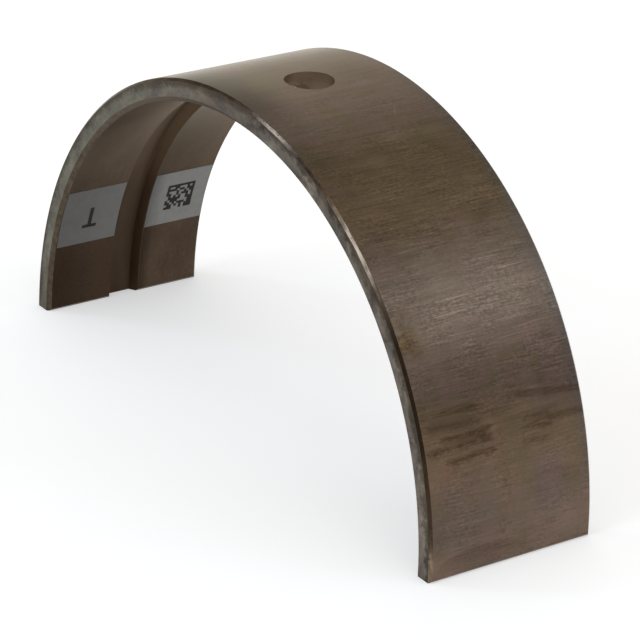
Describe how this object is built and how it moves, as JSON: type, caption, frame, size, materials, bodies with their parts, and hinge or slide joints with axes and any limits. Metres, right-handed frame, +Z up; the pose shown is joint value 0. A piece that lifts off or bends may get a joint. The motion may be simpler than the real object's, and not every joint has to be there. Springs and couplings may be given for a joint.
{
  "type": "engine main bearing shell",
  "caption": "Half-round steel-backed engine main bearing shell with an oil groove round its bore, an oil hole at the crown and chamfered side edges.",
  "frame": {"origin": "on the bearing axis, midway along the width, in the plane of the two joint faces that the shell stands on", "axes": "+X across the diameter, +Y along the bearing axis, +Z up to the crown"},
  "size_m": [0.13, 0.0342, 0.065],
  "materials": {
    "steel_shell": "tarnished brown-grey steel with fine rubbing marks along the bearing axis",
    "printed_field": "thin matt pale ink field on the bore lands, with dark printed marks"
  },
  "bodies": {
    "root": {"bearing_shell": "steel_shell"}
  },
  "joints": []
}
